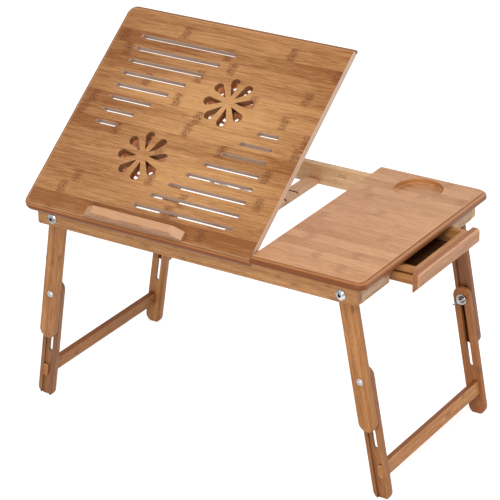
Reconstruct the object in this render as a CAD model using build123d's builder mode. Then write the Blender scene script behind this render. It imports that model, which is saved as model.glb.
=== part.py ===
import os
from math import acos, atan2, cos, hypot, radians, sin, tan

from build123d import *

os.makedirs("parts", exist_ok=True)

# Table top
top_width = 530.0
top_depth = 336.4
top_thickness = 10.0
table_height = 319.0
panel_share = 0.686
split_gap = 1.5
corner_radius = 14.0
moulding_inset = 5.0
moulding_step = 1.8
moulding_flat = 0.6
top_edge_round = 0.5
bottom_edge_round = 1.2
overhang_x = 15.2
overhang_y = 12.4
cup_shift = 2.3
cup_setback = 44.8
cup_diameter = 67.0
cup_depth = 6.5
cup_floor_round = 1.5

# Frame
rail_height = 28.7
rail_thickness = 11.0
rail_edge_round = 1.5
rail_end_round = 3.0
side_rail_thickness = 9.5
drawer_opening = 152.5
notch_rail_shift = 86.2
notch_rail_width = 18.0
notch_rail_height = 9.0
notch_rail_drop = 27.5
notch_tongue_length = 10.0
notch_tongue_step = 4.0
notch_count = 5
notch_setback = 60.3
notch_pitch = 29.5
notch_width = 2.6
notch_depth = 5.0
notch_slant = 35.0
notches_passed_count = 2

# Tilting panel
tilt_angle = 36.9
panel_gap = 0.4
pattern_shift_x = 0.8
pattern_shift_s = -3.7
slot_count = 8
slot_width = 6.0
slot_first_row = 124.6
slot_pitch = 20.25
slot_reach = 138.3
slot_longest = 157.5
slot_shrink = 17.5
flower_spacing = 134.0
flower_angle = 51.7
petal_count = 8
petal_tip_radius = 37.8
petal_inner_radius = 9.0
petal_round = 6.8
ledge_length = 156.0
ledge_top_length = 124.0
ledge_depth = 12.5
ledge_height = 16.0
ledge_end_height = 5.0
ledge_setback = 5.5
ledge_round = 4.0
ledge_back_round = 1.0
dowel_radius = 3.0
dowel_spacing = 90.0
dowel_half_length = 6.0

# Butt hinges
knuckle_radius = 2.1
knuckle_gap = 0.4
hinge_pin_radius = 1.0
hinge_length = 38.0
hinge_spacing = 220.0
leaf_width = 10.0
leaf_thickness = 1.2
leaf_share = 1 / 3
knuckle_play = 0.2
barrel_relief = 0.6
hinge_screw_spacing = 24.0
hinge_screw_radius = 1.2
hinge_screw_head = 2.2
hinge_screw_length = 6.0
hinge_screw_sink = 0.9

# Prop
wire_radius = 1.5
prop_drop = 12.4
prop_half_width = 17.0
prop_bend = 5.0
prop_ear_end = 1.6
prop_clearance = 0.5
bracket_width = 9.0
bracket_length = 10.0
bracket_sheet = 1.5
bracket_play = 0.6
bracket_screw_radius = 1.3
bracket_screw_head = 2.6
bracket_screw_head_height = 1.2
bracket_screw_length = 6.5

# Fan unit
fan_length = 213.0
fan_width = 86.4
fan_depth = 10.0
fan_corner = 8.5
fan_wall = 2.0
fan_face = 2.0
fan_edge_round = 1.2
duct_radius = 37.6
duct_wall = 1.6
fan_screw_inset = 7.5
fan_post_radius = 4.6
fan_screw_radius = 1.5
fan_screw_head = 3.2
fan_screw_head_height = 1.6
fan_screw_bite = 5.5
fan_screw_recess = 0.8
fan_screw_recess_width = 1.0
ring_count = 4
ring_radii = (33.6, 26.1, 18.4)
ring_slot_width = 4.2
ring_half_angles = (37.0, 34.0, 28.0)
motor_radius = 13.6
motor_height = 3.4
shaft_radius = 1.5
shaft_height = 3.0
hub_radius = 16.0
hub_wall = 1.4
hub_start = 0.9
hub_cap = 1.1
hub_end = 7.2
boss_radius = 3.2
boss_height = 1.8
blade_count = 9
blade_root = 15.4
blade_tip = 35.0
blade_level = 4.2
blade_thickness = 1.2
blade_root_chord = 8.4
blade_tip_chord = 11.5
blade_root_pitch = 36.0
blade_tip_pitch = 25.0
plug_body_width = 16.0
plug_body_height = 7.6
plug_body_length = 10.0
plug_body_round = 1.6
plug_width = 12.0
plug_height = 4.5
plug_length = 12.0
plug_sheet = 0.4
plug_tongue_height = 1.6
plug_tongue_setback = 1.0
plug_hole = 2.2
plug_hole_spacing = 5.0
plug_hole_setback = 5.5

# Drawer
drawer_open = 36.0
drawer_front_gap = 0.4
drawer_plate_width = 164.0
drawer_plate_height = 26.5
drawer_plate_thickness = 10.0
drawer_plate_drop = 14.0
drawer_plate_bevel = 8.6
drawer_plate_round = 4.2
drawer_box_width = 134.0
drawer_box_height = 24.0
drawer_box_depth = 133.0
drawer_box_drop = 14.5
drawer_side_thickness = 6.0
drawer_front_thickness = 7.0
drawer_back_thickness = 6.0
drawer_bottom_thickness = 3.0
drawer_bottom_lift = 1.5
drawer_groove_drop = 7.3
drawer_groove_height = 3.5
drawer_groove_depth = 3.5
runner_play = 0.3
runner_below = 3.0
runner_front_setback = 1.0
runner_rear_setback = 4.0
drawer_screw_spacing = 90.0
drawer_screw_radius = 1.6
drawer_screw_head = 3.2
drawer_screw_head_height = 1.4
drawer_screw_bite = 6.0

# Legs
splay_angle = 9.6
leg_width = 25.0
leg_thickness = 8.5
leg_gap = 0.3
leg_edge_round = 0.8
stop_clearance = 0.3
pivot_drop = 27.7
upper_leg_share = 0.662
bolt_share = 0.4224
lower_leg_lap = 17.5
groove_width = 14.0
groove_depth = 3.2
groove_start = 15.0
leg_slot_width = 6.4
leg_slot_play = 0.3
leg_slot_share = 0.3284
foot_flat = 1.8
crossbar_rise = 41.6
crossbar_height = 19.5
crossbar_thickness = 8.5
crossbar_round = 1.0
crossbar_shift = 3.5
tenon_proud = 2.6
tenon_play = 0.1
shank_radius = 3.0
running_play = 0.08
pivot_head_radius = 7.2
pivot_head_height = 3.4
pivot_head_rim = 0.8
pivot_hex_radius = 2.6
pivot_hex_depth = 2.2
pivot_nut_radius = 6.0
pivot_nut_height = 4.5
carriage_head_radius = 5.0
carriage_head_height = 2.6
carriage_head_rim = 0.4
washer_radius = 7.5
washer_thickness = 1.0
wing_hub_radius = 5.0
wing_hub_top_radius = 4.2
wing_hub_height = 5.4
wing_reach = 7.2
wing_rise = 5.6
wing_half_width = 3.8
wing_half_height = 5.0
wing_thickness = 2.0
wing_lean = 26.0
front_wing_angle = -25.0
back_wing_angle = -62.0
bolt_end = 2.0

# Levels and lines that follow from the sizes above
panel_width = top_width * panel_share
under_z = table_height - top_thickness
rail_bottom_z = under_z - rail_height
rail_x = top_width / 2 - overhang_x
rail_y = top_depth / 2 - overhang_y
inner_y = rail_y - rail_thickness
pivot_z = table_height - pivot_drop
splay = radians(splay_angle)
stop_reach = leg_width / 2 / cos(splay) + (pivot_z - rail_bottom_z) * tan(splay)
pivot_x = rail_x - side_rail_thickness - stop_clearance - stop_reach
left = -1
right = 1
front = -1
back = 1
ends = (front, back)

tilt = radians(tilt_angle)
panel_mid_x = (panel_width - top_width) / 2
notch_rail_x = panel_mid_x + notch_rail_shift
hinge_y = -rail_y - knuckle_radius - knuckle_gap
hinge_z = under_z
tilted = Plane((panel_mid_x, hinge_y, hinge_z), x_dir=(1, 0, 0), z_dir=(0, -sin(tilt), cos(tilt)))
panel_front = -top_depth / 2 - hinge_y
panel_mid = panel_front + top_depth / 2
panel_back = panel_front + top_depth
panel_normal = Axis(tilted.origin, tilted.z_dir)
pattern_s = panel_mid + pattern_shift_s
ovolo = moulding_inset - moulding_flat


def block(low, high):
    with BuildPart() as piece:
        with BuildSketch(Plane.XY.offset(low[2])):
            with Locations(((low[0] + high[0]) / 2, (low[1] + high[1]) / 2)):
                Rectangle(high[0] - low[0], high[1] - low[1])
        extrude(amount=high[2] - low[2])
    return piece.part


def turned(plane, outline):
    spin = Plane(plane.origin, x_dir=plane.x_dir, z_dir=-plane.y_dir)
    with BuildPart() as piece:
        with BuildSketch(spin):
            with BuildLine():
                Polyline(*outline, close=True)
            make_face()
        revolve(axis=Axis(plane.origin, plane.z_dir))
    return piece.part


def domed_bolt(plane, head_radius, head_height, rim, length):
    spin = Plane(plane.origin, x_dir=plane.x_dir, z_dir=-plane.y_dir)
    with BuildPart() as piece:
        with BuildSketch(spin):
            with BuildLine():
                TangentArc((0, head_height), (head_radius, rim), tangent=(1, 0))
                Polyline((head_radius, rim), (head_radius, 0), (shank_radius, 0),
                         (shank_radius, -length), (0, -length), (0, head_height))
            make_face()
        revolve(axis=Axis(plane.origin, plane.z_dir))
    return piece.part


def flat_screw(plane, radius, head, head_height, length):
    outline = ((0, 0), (head, 0), (radius, -head_height), (radius, -length), (0, -length))
    return turned(plane, outline)


def keep(piece, name):
    piece.label = name
    export_step(piece, "parts/" + name + ".step")


# Frame rails
pivot_points = [(side * pivot_x, 0) for side in (left, right)]
hinge_offsets = (-hinge_spacing / 2, hinge_spacing / 2)


def long_rail(end):
    face = Plane((0, end * rail_y, pivot_z), x_dir=(1, 0, 0), z_dir=(0, end, 0))
    near, far = sorted((end * inner_y, end * rail_y))
    with BuildPart() as rail:
        add(block((-rail_x, near, rail_bottom_z), (rail_x, far, under_z)))
        low_ends = rail.edges().filter_by(Axis.Y).group_by(Axis.Z)[0]
        fillet(low_ends, rail_end_round)
        outer = rail.faces().filter_by(Axis.Y).sort_by(Axis.Y)[0 if end == front else -1]
        fillet(outer.edges().filter_by(Axis.X).sort_by(Axis.Z)[0], rail_edge_round)
        with BuildSketch(face):
            with Locations(*pivot_points):
                Circle(shank_radius + running_play)
        extrude(amount=-rail_thickness, mode=Mode.SUBTRACT)
    return rail.part


with BuildPart() as front_rail:
    add(long_rail(front))
    for offset in hinge_offsets:
        with BuildSketch(Plane.XY.offset(under_z)):
            with Locations((panel_mid_x + offset, -rail_y)):
                Rectangle(hinge_length, leaf_width, align=(Align.CENTER, Align.MIN))
        extrude(amount=-leaf_thickness, mode=Mode.SUBTRACT)
        with BuildSketch(Plane.XY.offset(under_z - leaf_thickness)):
            with Locations((panel_mid_x + offset, -rail_y + leaf_width / 2)):
                with GridLocations(hinge_screw_spacing, 0, 2, 1):
                    Circle(hinge_screw_radius + running_play)
        extrude(amount=-hinge_screw_length, mode=Mode.SUBTRACT)
keep(front_rail.part, "front_rail")

with BuildPart() as back_rail:
    add(long_rail(back))
keep(back_rail.part, "back_rail")

side_x = rail_x - side_rail_thickness
with BuildPart() as left_rail:
    add(block((-rail_x, -inner_y, rail_bottom_z), (-side_x, inner_y, under_z)))
keep(left_rail.part, "left_rail")

half_opening = drawer_opening / 2
with BuildPart() as right_front_block:
    add(block((side_x, -inner_y, rail_bottom_z), (rail_x, -half_opening, under_z)))
    fillet(right_front_block.edges().filter_by(Axis.Y).group_by(Axis.Z)[0].sort_by(Axis.X)[-1], rail_edge_round)
keep(right_front_block.part, "right_front_block")

with BuildPart() as right_back_block:
    add(block((side_x, half_opening, rail_bottom_z), (rail_x, inner_y, under_z)))
    fillet(right_back_block.edges().filter_by(Axis.Y).group_by(Axis.Z)[0].sort_by(Axis.X)[-1], rail_edge_round)
keep(right_back_block.part, "right_back_block")

# Centre rail with slanted notches
notch_top_z = table_height - notch_rail_drop
notch_low = notch_rail_x - notch_rail_width / 2
notch_high = notch_rail_x + notch_rail_width / 2
notch_first_y = inner_y - notch_setback
notch_ys = [notch_first_y - notch_pitch * index for index in range(notch_count)]
tongue_y = inner_y - notch_tongue_length
with BuildPart() as notch_rail:
    add(block((notch_low, -inner_y, notch_top_z - notch_rail_height), (notch_high, inner_y, notch_top_z)))
    for end in ends:
        near, far = sorted((end * tongue_y, end * inner_y))
        step = block((notch_low, near, notch_top_z - notch_tongue_step), (notch_high, far, notch_top_z))
        add(step, mode=Mode.SUBTRACT)
    for notch_y in notch_ys:
        with BuildSketch(Plane((notch_low, notch_y, notch_top_z), x_dir=(0, 1, 0), z_dir=(1, 0, 0))):
            Rectangle(notch_width, notch_depth * 2, rotation=notch_slant)
        extrude(amount=notch_rail_width, mode=Mode.SUBTRACT)
keep(notch_rail.part, "notch_rail")

# Fixed top
fixed_width = top_width - panel_width - split_gap
fixed_right = top_width / 2
cup_x = fixed_right - fixed_width / 2 - cup_shift
cup_y = top_depth / 2 - cup_setback
with BuildPart() as fixed_top:
    with BuildSketch(Plane.XY.offset(under_z)) as fixed_outline:
        with Locations((fixed_right, 0)):
            Rectangle(fixed_width, top_depth, align=(Align.MAX, Align.CENTER))
        fillet(fixed_outline.vertices().group_by(Axis.X)[-1], corner_radius)
    extrude(amount=top_thickness - moulding_step)
    fillet(fixed_top.faces().sort_by(Axis.Z)[-1].edges().sort_by(Axis.X)[1:], ovolo)
    fillet(fixed_top.faces().sort_by(Axis.Z)[0].edges().sort_by(Axis.X)[1:], bottom_edge_round)
    with BuildSketch(Plane.XY.offset(table_height - moulding_step)) as fixed_raised:
        with Locations((fixed_right - moulding_inset, 0)):
            Rectangle(fixed_width - moulding_inset, top_depth - 2 * moulding_inset, align=(Align.MAX, Align.CENTER))
        fillet(fixed_raised.vertices().group_by(Axis.X)[-1], corner_radius - moulding_inset)
    extrude(amount=moulding_step)
    fillet(fixed_top.faces().sort_by(Axis.Z)[-1].edges().sort_by(Axis.X)[1:], top_edge_round)
    with BuildSketch(Plane.XY.offset(table_height)):
        with Locations((cup_x, cup_y)):
            Circle(cup_diameter / 2)
    extrude(amount=-cup_depth, mode=Mode.SUBTRACT)
    cup_floor = fixed_top.faces().sort_by_distance((cup_x, cup_y, table_height - cup_depth))[0]
    fillet(cup_floor.edges().filter_by(GeomType.CIRCLE), cup_floor_round)
keep(fixed_top.part, "fixed_top")

# Tilting panel
pattern_centre = (pattern_shift_x, pattern_s)
prop_x = notch_rail_x - panel_mid_x
prop_row = pattern_s - slot_first_row + slot_pitch * (slot_count - 1) / 2
flower_turn = radians(flower_angle)
flower_dx = flower_spacing / 2 * cos(flower_turn)
flower_ds = flower_spacing / 2 * sin(flower_turn)
flowers = [(pattern_shift_x + sign * flower_dx, pattern_s + sign * flower_ds) for sign in (-1, 1)]
ledge_s = panel_front + ledge_setback + ledge_depth / 2
fan_post_x = fan_length / 2 - fan_screw_inset
fan_post_y = fan_width / 2 - fan_screw_inset
bracket_x = prop_half_width + prop_bend + bracket_play
bracket_xs = (-bracket_x - bracket_length / 2, bracket_x + bracket_length / 2)

fan_origin = tilted.from_local_coords((pattern_shift_x, pattern_s, panel_gap))
fan_x_dir = tilted.x_dir * cos(flower_turn) + tilted.y_dir * sin(flower_turn)
fan_plane = Plane(fan_origin, x_dir=fan_x_dir, z_dir=-tilted.z_dir)

petal_centre = petal_tip_radius - petal_round
petal_turn = acos(petal_round / (petal_centre - petal_inner_radius))
petal_side_x = petal_centre - petal_round * cos(petal_turn)
petal_side_y = petal_round * sin(petal_turn)
with BuildSketch() as petal:
    with BuildLine():
        ThreePointArc((petal_side_x, petal_side_y), (petal_tip_radius, 0), (petal_side_x, -petal_side_y))
        Polyline((petal_side_x, -petal_side_y), (petal_inner_radius, 0), (petal_side_x, petal_side_y))
    make_face()

with BuildPart() as tilt_panel:
    with BuildSketch(tilted.offset(panel_gap)) as panel_outline:
        with Locations((0, panel_mid)):
            Rectangle(panel_width, top_depth)
        fillet(panel_outline.vertices().group_by(Axis.X)[0], corner_radius)
    extrude(amount=top_thickness - panel_gap - moulding_step)
    fillet(tilt_panel.faces().sort_by(panel_normal)[-1].edges().sort_by(Axis.X)[:-1], ovolo)
    fillet(tilt_panel.faces().sort_by(panel_normal)[0].edges().sort_by(Axis.X)[:-1], bottom_edge_round)
    with BuildSketch(tilted.offset(top_thickness - moulding_step)) as panel_raised:
        with Locations((panel_width / 2, panel_mid)):
            Rectangle(panel_width - moulding_inset, top_depth - 2 * moulding_inset, align=(Align.MAX, Align.CENTER))
        fillet(panel_raised.vertices().group_by(Axis.X)[0], corner_radius - moulding_inset)
    extrude(amount=moulding_step)
    fillet(tilt_panel.faces().sort_by(panel_normal)[-1].edges().sort_by(Axis.X)[:-1], top_edge_round)
    with BuildSketch(tilted.offset(top_thickness)):
        for row in range(slot_count):
            length = slot_longest - slot_shrink * row
            slot_x = -slot_reach + length / 2
            slot_s = slot_first_row - slot_pitch * row
            for sign in (-1, 1):
                with Locations((pattern_shift_x + sign * slot_x, pattern_s + sign * slot_s)):
                    SlotOverall(length, slot_width)
        for flower in flowers:
            with Locations(Location((flower[0], flower[1], 0), (0, 0, flower_angle))):
                with PolarLocations(0, petal_count):
                    add(petal.sketch)
    extrude(amount=-top_thickness, mode=Mode.SUBTRACT)
    with BuildSketch(tilted.offset(panel_gap)):
        for offset in hinge_offsets:
            with Locations((offset, 0)):
                Rectangle(hinge_length, leaf_width + knuckle_radius + knuckle_gap, align=(Align.CENTER, Align.MIN))
    extrude(amount=leaf_thickness, mode=Mode.SUBTRACT)
    for offset in hinge_offsets:
        start = tilted.from_local_coords((offset - hinge_length / 2 - barrel_relief, 0, 0))
        with BuildSketch(Plane(start, x_dir=tilted.y_dir, z_dir=tilted.x_dir)):
            Circle(knuckle_radius + barrel_relief)
        extrude(amount=hinge_length + 2 * barrel_relief, mode=Mode.SUBTRACT)
    with BuildSketch(tilted.offset(panel_gap)):
        for offset in hinge_offsets:
            with Locations((offset, knuckle_radius + knuckle_gap + leaf_width / 2)):
                with GridLocations(hinge_screw_spacing, 0, 2, 1):
                    Circle(hinge_screw_radius + running_play)
        with Locations((prop_x + bracket_xs[0], prop_row), (prop_x + bracket_xs[1], prop_row)):
            Circle(bracket_screw_radius + running_play)
    extrude(amount=bracket_screw_length, mode=Mode.SUBTRACT)
    with BuildSketch(fan_plane):
        with GridLocations(2 * fan_post_x, 2 * fan_post_y, 2, 2):
            Circle(fan_screw_radius + running_play)
    extrude(amount=-fan_screw_bite, mode=Mode.SUBTRACT)
    with BuildSketch(tilted.offset(top_thickness)):
        with Locations((pattern_shift_x, ledge_s)):
            with GridLocations(dowel_spacing, 0, 2, 1):
                Circle(dowel_radius + running_play)
    extrude(amount=-dowel_half_length, mode=Mode.SUBTRACT)
keep(tilt_panel.part, "tilt_panel")

# Ledge bar and its dowels
ledge_side = Plane(tilted.from_local_coords((pattern_shift_x, ledge_s - ledge_depth / 2, top_thickness)),
                   x_dir=tilted.x_dir, z_dir=-tilted.y_dir)
with BuildPart() as ledge_bar:
    with BuildSketch(ledge_side):
        with BuildLine():
            Polyline((-ledge_length / 2, 0), (ledge_length / 2, 0), (ledge_length / 2, ledge_end_height),
                     (ledge_top_length / 2, ledge_height), (-ledge_top_length / 2, ledge_height),
                     (-ledge_length / 2, ledge_end_height), close=True)
        make_face()
    extrude(amount=-ledge_depth)
    ledge_top = ledge_bar.faces().sort_by(panel_normal)[-1].edges().filter_by(Axis.X)
    fillet(ledge_top.sort_by(Axis(tilted.origin, tilted.y_dir))[0], ledge_round)
    ledge_top = ledge_bar.faces().sort_by(panel_normal)[-1].edges().filter_by(Axis.X)
    fillet(ledge_top.sort_by(Axis(tilted.origin, tilted.y_dir))[-1], ledge_back_round)
    with BuildSketch(tilted.offset(top_thickness)):
        with Locations((pattern_shift_x, ledge_s)):
            with GridLocations(dowel_spacing, 0, 2, 1):
                Circle(dowel_radius + running_play)
    extrude(amount=dowel_half_length, mode=Mode.SUBTRACT)
keep(ledge_bar.part, "ledge_bar")

with BuildPart() as ledge_dowels:
    with BuildSketch(tilted.offset(top_thickness - dowel_half_length)):
        with Locations((pattern_shift_x, ledge_s)):
            with GridLocations(dowel_spacing, 0, 2, 1):
                Circle(dowel_radius)
    extrude(amount=2 * dowel_half_length)
keep(ledge_dowels.part, "ledge_dowels")

# Butt hinges
knuckle_span = hinge_length * leaf_share
flat_panel = Plane(tilted.origin, x_dir=(1, 0, 0), z_dir=(0, 0, 1))


def leaf_screws(plane, level, points, direction):
    spin = plane.offset(level)
    with BuildPart() as piece:
        for point in points:
            at = Plane(spin.from_local_coords((point[0], point[1], 0)), x_dir=plane.x_dir, z_dir=plane.z_dir * direction)
            add(flat_screw(at, hinge_screw_radius, hinge_screw_head, hinge_screw_sink, hinge_screw_length))
    return piece.part


def leaf(plane, level, start_s, centres, spans, points, direction):
    with BuildPart() as piece:
        for offset in hinge_offsets:
            with BuildSketch(plane.offset(level)):
                with Locations((offset, start_s)):
                    Rectangle(hinge_length, leaf_width, align=(Align.CENTER, Align.MIN))
                for centre, span in zip(centres, spans):
                    with Locations((offset + centre, 0)):
                        Rectangle(span, start_s, align=(Align.CENTER, Align.MIN))
            extrude(amount=leaf_thickness)
            for centre, span in zip(centres, spans):
                start = plane.from_local_coords((offset + centre - span / 2, 0, 0))
                with BuildSketch(Plane(start, x_dir=plane.y_dir, z_dir=plane.x_dir)):
                    Circle(knuckle_radius)
                extrude(amount=span)
            start = plane.from_local_coords((offset - hinge_length, 0, 0))
            with BuildSketch(Plane(start, x_dir=plane.y_dir, z_dir=plane.x_dir)):
                Circle(hinge_pin_radius + running_play)
            extrude(amount=2 * hinge_length, mode=Mode.SUBTRACT)
        for point in points:
            outer = level + leaf_thickness if direction > 0 else level
            at = Plane(plane.from_local_coords((point[0], point[1], outer)),
                       x_dir=plane.x_dir, z_dir=plane.z_dir * direction)
            mouth = hinge_screw_head + running_play
            throat = hinge_screw_radius + running_play
            cone = ((0, 0), (mouth, 0), (throat, -hinge_screw_sink), (throat, -leaf_thickness), (0, -leaf_thickness))
            add(turned(at, cone), mode=Mode.SUBTRACT)
    return piece.part


leaf_start = knuckle_radius + knuckle_gap
outer_centre = (hinge_length - knuckle_span) / 2
leaf_points = [(offset + sign * hinge_screw_spacing / 2, leaf_start + leaf_width / 2)
               for offset in hinge_offsets for sign in (-1, 1)]

with BuildPart() as rail_hinge_leaves:
    add(leaf(flat_panel, -leaf_thickness, leaf_start, (-outer_centre, outer_centre),
             (knuckle_span, knuckle_span), leaf_points, 1))
keep(rail_hinge_leaves.part, "rail_hinge_leaves")

with BuildPart() as panel_hinge_leaves:
    add(leaf(tilted, panel_gap, leaf_start, (0,), (knuckle_span - 2 * knuckle_play,), leaf_points, -1))
keep(panel_hinge_leaves.part, "panel_hinge_leaves")

with BuildPart() as rail_hinge_screws:
    add(leaf_screws(flat_panel, 0, leaf_points, 1))
keep(rail_hinge_screws.part, "rail_hinge_screws")

with BuildPart() as panel_hinge_screws:
    add(leaf_screws(tilted, panel_gap, leaf_points, -1))
keep(panel_hinge_screws.part, "panel_hinge_screws")

with BuildPart() as hinge_pins:
    for offset in hinge_offsets:
        start = flat_panel.from_local_coords((offset - hinge_length / 2, 0, 0))
        with BuildSketch(Plane(start, x_dir=(0, 1, 0), z_dir=(1, 0, 0))):
            Circle(hinge_pin_radius)
        extrude(amount=hinge_length)
keep(hinge_pins.part, "hinge_pins")

# Prop: brackets under the panel and a bent wire bail
prop_t = panel_gap - prop_drop
prop_pivot = tilted.from_local_coords((prop_x, prop_row, prop_t))
foot_y = notch_ys[notches_passed_count]
foot_z = notch_top_z + wire_radius + prop_clearance
prop_reach = hypot(foot_y - prop_pivot.Y, foot_z - prop_pivot.Z)
prop_turn = atan2(foot_z - prop_pivot.Z, foot_y - prop_pivot.Y)
bail_plane = Plane(prop_pivot, x_dir=(1, 0, 0), z_dir=(0, -sin(prop_turn), cos(prop_turn)))

with BuildPart() as prop_brackets:
    for sign in (-1, 1):
        low_x = prop_x + sign * bracket_x
        base = Plane(tilted.from_local_coords((low_x, prop_row, panel_gap)), x_dir=tilted.x_dir, z_dir=-tilted.z_dir)
        with BuildSketch(base):
            with Locations((sign * bracket_length / 2, 0)):
                Rectangle(bracket_length, bracket_width)
                Circle(bracket_screw_radius + running_play, mode=Mode.SUBTRACT)
        extrude(amount=bracket_sheet)
        side = Plane(base.origin, x_dir=base.z_dir, z_dir=tilted.x_dir * sign)
        with BuildSketch(side):
            with Locations((prop_drop / 2, 0)):
                Rectangle(prop_drop, bracket_width)
            with Locations((prop_drop, 0)):
                Circle(bracket_width / 2)
                Circle(wire_radius + running_play, mode=Mode.SUBTRACT)
        extrude(amount=bracket_sheet)
keep(prop_brackets.part, "prop_brackets")

with BuildPart() as prop_bracket_screws:
    for bracket_at in bracket_xs:
        at = Plane(tilted.from_local_coords((prop_x + bracket_at, prop_row, panel_gap - bracket_sheet)),
                   x_dir=tilted.x_dir, z_dir=-tilted.z_dir)
        outline = ((0, bracket_screw_head_height), (bracket_screw_head, bracket_screw_head_height),
                   (bracket_screw_head, 0), (bracket_screw_radius, 0),
                   (bracket_screw_radius, -bracket_screw_length), (0, -bracket_screw_length))
        add(turned(at, outline))
keep(prop_bracket_screws.part, "prop_bracket_screws")

ear_x = bracket_x + bracket_sheet + prop_ear_end
ear_plane = Plane(bail_plane.from_local_coords((-ear_x, 0, 0)), x_dir=bail_plane.y_dir, z_dir=bail_plane.x_dir)
with BuildPart() as prop_bail:
    with BuildLine(bail_plane):
        FilletPolyline((-ear_x, 0), (-prop_half_width, 0), (-prop_half_width, prop_reach),
                       (prop_half_width, prop_reach), (prop_half_width, 0), (ear_x, 0), radius=prop_bend)
    with BuildSketch(ear_plane):
        Circle(wire_radius)
    sweep()
keep(prop_bail.part, "prop_bail")

# Fan unit
fan_centres = ((-flower_spacing / 2, 0), (flower_spacing / 2, 0))
fan_inner = fan_depth - fan_face
with BuildPart() as fan_housing:
    with BuildSketch(fan_plane):
        RectangleRounded(fan_length, fan_width, fan_corner)
    extrude(amount=fan_depth)
    fillet(fan_housing.faces().sort_by(panel_normal)[0].edges(), fan_edge_round)
    with BuildSketch(fan_plane):
        RectangleRounded(fan_length - 2 * fan_wall, fan_width - 2 * fan_wall, fan_corner - fan_wall)
        with Locations(*fan_centres):
            Circle(duct_radius + duct_wall, mode=Mode.SUBTRACT)
        with Locations(*fan_centres):
            Circle(duct_radius)
        with GridLocations(2 * fan_post_x, 2 * fan_post_y, 2, 2):
            Circle(fan_post_radius, mode=Mode.SUBTRACT)
    extrude(amount=fan_inner, mode=Mode.SUBTRACT)
    with BuildSketch(fan_plane):
        for centre in fan_centres:
            for radius, half_angle in zip(ring_radii, ring_half_angles):
                with Locations(centre):
                    with PolarLocations(0, ring_count):
                        SlotArc(CenterArc((0, 0), radius, -half_angle, 2 * half_angle), ring_slot_width)
    extrude(amount=fan_depth, mode=Mode.SUBTRACT)
    with BuildSketch(fan_plane):
        with GridLocations(2 * fan_post_x, 2 * fan_post_y, 2, 2):
            Circle(fan_screw_radius + running_play)
    extrude(amount=fan_depth, mode=Mode.SUBTRACT)
    with BuildSketch(fan_plane.offset(fan_depth - fan_screw_head_height)):
        with GridLocations(2 * fan_post_x, 2 * fan_post_y, 2, 2):
            Circle(fan_screw_head + running_play)
    extrude(amount=fan_screw_head_height, mode=Mode.SUBTRACT)
keep(fan_housing.part, "fan_housing")

with BuildPart() as fan_housing_screws:
    for sign_x in (-1, 1):
        for sign_y in (-1, 1):
            at = Plane(fan_plane.from_local_coords((sign_x * fan_post_x, sign_y * fan_post_y, fan_depth)),
                       x_dir=fan_plane.x_dir, z_dir=fan_plane.z_dir)
            tip = -fan_depth - fan_screw_bite
            outline = ((0, 0), (fan_screw_head, 0), (fan_screw_head, -fan_screw_head_height),
                       (fan_screw_radius, -fan_screw_head_height), (fan_screw_radius, tip), (0, tip))
            add(turned(at, outline))
    with BuildSketch(fan_plane.offset(fan_depth)):
        with GridLocations(2 * fan_post_x, 2 * fan_post_y, 2, 2):
            Rectangle(fan_screw_head, fan_screw_recess_width)
            Rectangle(fan_screw_recess_width, fan_screw_head)
    extrude(amount=-fan_screw_recess, mode=Mode.SUBTRACT)
keep(fan_housing_screws.part, "fan_housing_screws")

with BuildPart() as fan_motors:
    with BuildSketch(fan_plane.offset(fan_inner)):
        with Locations(*fan_centres):
            Circle(motor_radius)
    extrude(amount=-motor_height)
    with BuildSketch(fan_plane.offset(fan_inner - motor_height)):
        with Locations(*fan_centres):
            Circle(shaft_radius)
    extrude(amount=-shaft_height)
keep(fan_motors.part, "fan_motors")


def fan_vector(x, y, z):
    return fan_plane.x_dir * x + fan_plane.y_dir * y + fan_plane.z_dir * z


def blade_section(centre, turn, radius):
    at = fan_plane.from_local_coords((centre[0] + radius * cos(turn), centre[1] + radius * sin(turn), blade_level))
    return Plane(at, x_dir=fan_vector(-sin(turn), cos(turn), 0), z_dir=fan_vector(cos(turn), sin(turn), 0))


def impeller(centre):
    at = Plane(fan_plane.from_local_coords((centre[0], centre[1], 0)), x_dir=fan_plane.x_dir, z_dir=fan_plane.z_dir)
    cap_end = hub_start + hub_cap
    bore = shaft_radius + running_play
    outline = ((bore, hub_start), (hub_radius, hub_start), (hub_radius, hub_end), (hub_radius - hub_wall, hub_end),
               (hub_radius - hub_wall, cap_end), (boss_radius, cap_end), (boss_radius, cap_end + boss_height),
               (bore, cap_end + boss_height))
    with BuildPart() as wheel:
        add(turned(at, outline))
        for index in range(blade_count):
            turn = radians(360 * index / blade_count)
            with BuildSketch(blade_section(centre, turn, blade_root)):
                Rectangle(blade_root_chord, blade_thickness, rotation=blade_root_pitch)
            with BuildSketch(blade_section(centre, turn, blade_tip)):
                Rectangle(blade_tip_chord, blade_thickness, rotation=blade_tip_pitch)
            loft()
    return wheel.part


keep(impeller(fan_centres[0]), "front_fan_impeller")
keep(impeller(fan_centres[1]), "back_fan_impeller")

# Plug on the long edge of the fan unit
plug_plane = Plane(fan_plane.from_local_coords((0, -fan_width / 2, fan_depth / 2)),
                   x_dir=fan_plane.x_dir, z_dir=-fan_plane.y_dir)
plug_inner_width = plug_width - 2 * plug_sheet
plug_inner_height = plug_height - 2 * plug_sheet
tongue_shift = (plug_inner_height - plug_tongue_height) / 2
with BuildPart() as usb_plug_body:
    with BuildSketch(plug_plane):
        RectangleRounded(plug_body_width, plug_body_height, plug_body_round)
    extrude(amount=plug_body_length)
    with BuildSketch(plug_plane.offset(plug_body_length)):
        with Locations((0, tongue_shift)):
            Rectangle(plug_inner_width, plug_tongue_height)
    extrude(amount=plug_length - plug_tongue_setback)
keep(usb_plug_body.part, "usb_plug_body")

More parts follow.
